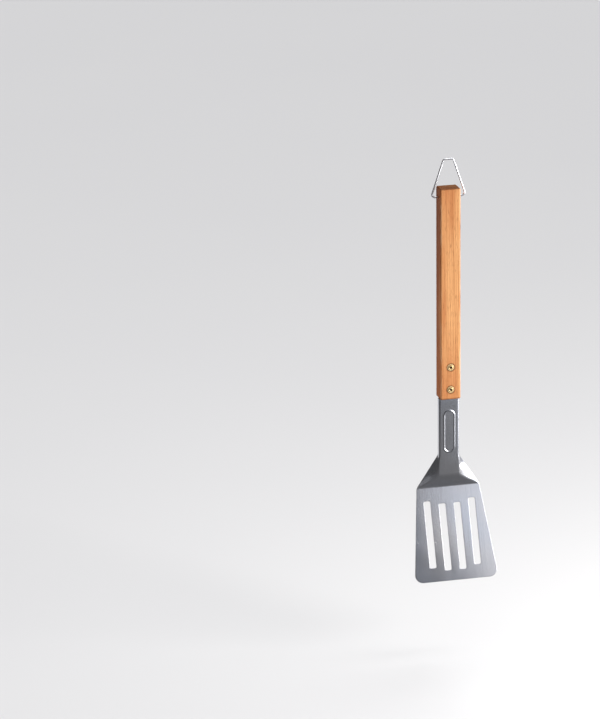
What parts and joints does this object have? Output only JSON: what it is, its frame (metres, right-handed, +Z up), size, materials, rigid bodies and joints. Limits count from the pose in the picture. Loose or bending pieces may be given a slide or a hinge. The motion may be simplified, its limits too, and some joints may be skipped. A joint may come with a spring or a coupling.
{
  "type": "grill spatula",
  "caption": "Slotted steel grill turner with a flared, forward-tilted blade, a channel shank riveted into a square hardwood handle, and a swinging wire loop to hang it by.",
  "frame": {"origin": "inside the top bend of the wire loop, where a hook bears", "axes": "+Z up along the handle as the tool hangs, -Y towards the side that carries food, X across the width"},
  "size_m": [0.1, 0.0474, 0.5046],
  "materials": {
    "oiled_hardwood": "oiled, satin",
    "brushed_steel": "satin brushed along the tool",
    "brass_rivet": "satin, dulled in the hollow",
    "brass_washer": "satin",
    "bright_wire": "bright drawn"
  },
  "bodies": {
    "spatula": {"handle": "oiled_hardwood", "blade_and_shank": "brushed_steel", "rivet_upper": "brass_rivet", "rivet_lower": "brass_rivet", "rivet_washer_upper": "brass_washer", "rivet_washer_lower": "brass_washer"},
    "hanging_loop": {"hanging_loop": "bright_wire"}
  },
  "joints": [
    {"name": "hanging_loop_pivot", "type": "hinge", "parent": "spatula", "child": "hanging_loop", "pos_m": [0, 0, -0.0434], "axis": [1, 0, 0], "range_deg": [-148, 148]}
  ]
}
